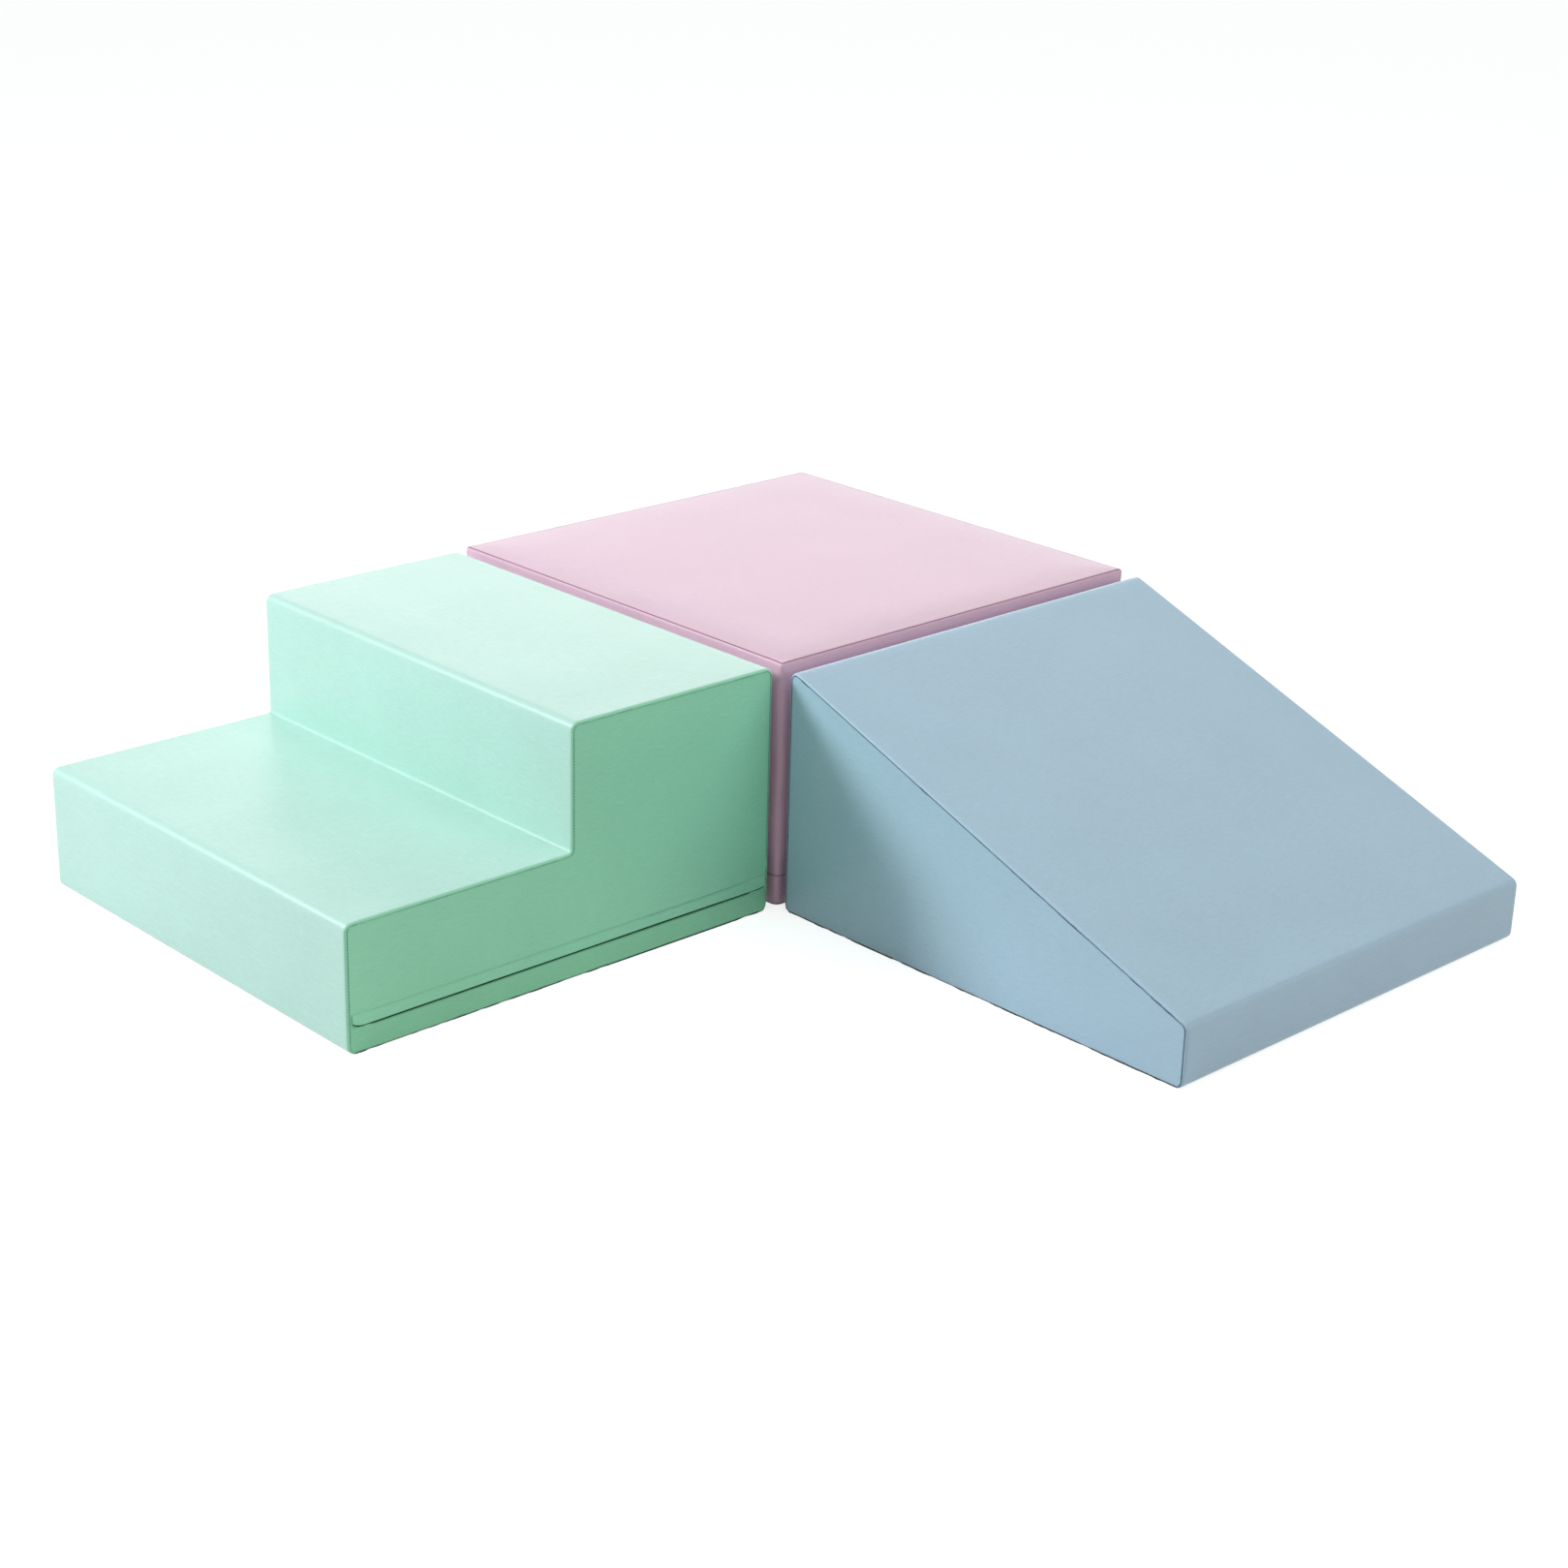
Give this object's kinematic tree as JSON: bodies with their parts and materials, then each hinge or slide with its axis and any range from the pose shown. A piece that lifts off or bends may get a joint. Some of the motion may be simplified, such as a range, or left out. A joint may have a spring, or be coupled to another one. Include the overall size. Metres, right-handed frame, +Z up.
{
  "type": "soft play foam climber",
  "caption": "Soft play climber of leatherette covered foam blocks in an L: steps, a square platform and a ramp, with zip covers and hook-and-loop joins.",
  "frame": {"origin": "on the floor, under the middle of the whole set", "axes": "+Z up; +X from the front of the steps to the open side of the platform; +Y from the toe of the ramp to the far side of the platform"},
  "size_m": [1.2202, 1.2276, 0.306],
  "materials": {
    "mint_leatherette": "satin polyurethane leatherette with a very fine grain",
    "pink_leatherette": "satin polyurethane leatherette with a very fine grain",
    "blue_leatherette": "satin polyurethane leatherette with a very fine grain",
    "nonslip_base": "dark woven base cloth with small grip dots",
    "foam": "open cell polyurethane foam",
    "mint_zip_tape": "woven polyester",
    "pink_zip_tape": "woven polyester",
    "blue_zip_tape": "woven polyester",
    "zip_metal": "plated die casting",
    "hook_tape": "nylon hooks",
    "loop_tape": "brushed nylon loops"
  },
  "bodies": {
    "platform": {"platform_foam_lower": "foam", "platform_foam_upper": "foam", "platform_top_panel": "pink_leatherette", "platform_border_band": "pink_leatherette", "platform_lower_band": "pink_leatherette", "platform_base_panel": "nonslip_base", "platform_zip_tape_upper": "pink_zip_tape", "platform_zip_tape_lower": "pink_zip_tape", "platform_zip_coil_upper": "pink_zip_tape", "platform_zip_coil_lower": "pink_zip_tape", "platform_zip_top_stop": "zip_metal", "platform_zip_bottom_stop": "zip_metal", "platform_steps_loop_strip_left": "loop_tape", "platform_steps_loop_strip_right": "loop_tape", "platform_ramp_loop_strip_left": "loop_tape", "platform_ramp_loop_strip_right": "loop_tape"},
    "steps": {"steps_foam_lower": "foam", "steps_foam_upper": "foam", "steps_wrap_panel": "mint_leatherette", "steps_back_panel": "mint_leatherette", "steps_near_side_panel": "mint_leatherette", "steps_near_lower_band": "mint_leatherette", "steps_far_side_panel": "mint_leatherette", "steps_base_panel": "nonslip_base", "steps_zip_tape_upper": "mint_zip_tape", "steps_zip_tape_lower": "mint_zip_tape", "steps_zip_coil_upper": "mint_zip_tape", "steps_zip_coil_lower": "mint_zip_tape", "steps_zip_top_stop": "zip_metal", "steps_zip_bottom_stop": "zip_metal", "steps_hook_strip_left": "hook_tape", "steps_hook_strip_right": "hook_tape"},
    "ramp": {"ramp_foam_wedge": "foam", "ramp_wrap_panel": "blue_leatherette", "ramp_back_panel": "blue_leatherette", "ramp_near_side_panel": "blue_leatherette", "ramp_far_side_panel": "blue_leatherette", "ramp_far_lower_band": "blue_leatherette", "ramp_base_panel": "nonslip_base", "ramp_zip_tape_upper": "blue_zip_tape", "ramp_zip_tape_lower": "blue_zip_tape", "ramp_zip_coil_upper": "blue_zip_tape", "ramp_zip_coil_lower": "blue_zip_tape", "ramp_zip_top_stop": "zip_metal", "ramp_zip_bottom_stop": "zip_metal", "ramp_hook_strip_left": "hook_tape", "ramp_hook_strip_right": "hook_tape"},
    "platform_slider": {"platform_zip_slider": "zip_metal"},
    "platform_flap": {"platform_zip_flap": "pink_leatherette"},
    "steps_slider": {"steps_zip_slider": "zip_metal"},
    "steps_flap": {"steps_zip_flap": "mint_leatherette"},
    "ramp_slider": {"ramp_zip_slider": "zip_metal"},
    "ramp_flap": {"ramp_zip_flap": "blue_leatherette"}
  },
  "joints": [
    {"name": "steps_pull_away", "type": "slide", "parent": "platform", "child": "steps", "axis": [-1, 0, 0], "range_m": [0, 0.3]},
    {"name": "ramp_pull_away", "type": "slide", "parent": "platform", "child": "ramp", "axis": [0, -1, 0], "range_m": [0, 0.3]},
    {"name": "platform_zip_run", "type": "slide", "parent": "platform", "child": "platform_slider", "axis": [-1, 0, 0], "range_m": [0, 0.4854]},
    {"name": "steps_zip_run", "type": "slide", "parent": "steps", "child": "steps_slider", "axis": [1, 0, 0], "range_m": [0, 0.4854]},
    {"name": "ramp_zip_run", "type": "slide", "parent": "ramp", "child": "ramp_slider", "axis": [0, 1, 0], "range_m": [0, 0.4944]},
    {"name": "platform_flap_lift", "type": "hinge", "parent": "platform", "child": "platform_flap", "pos_m": [0.30705, 0.6108, 0.053], "axis": [1, 0, 0], "range_deg": [0, 110]},
    {"name": "steps_flap_lift", "type": "hinge", "parent": "steps", "child": "steps_flap", "pos_m": [-0.30705, 0.0108, 0.046], "axis": [-1, 0, 0], "range_deg": [0, 110]},
    {"name": "ramp_flap_lift", "type": "hinge", "parent": "ramp", "child": "ramp_flap", "pos_m": [0.60705, -0.3078, 0.046], "axis": [0, -1, 0], "range_deg": [0, 110]}
  ]
}
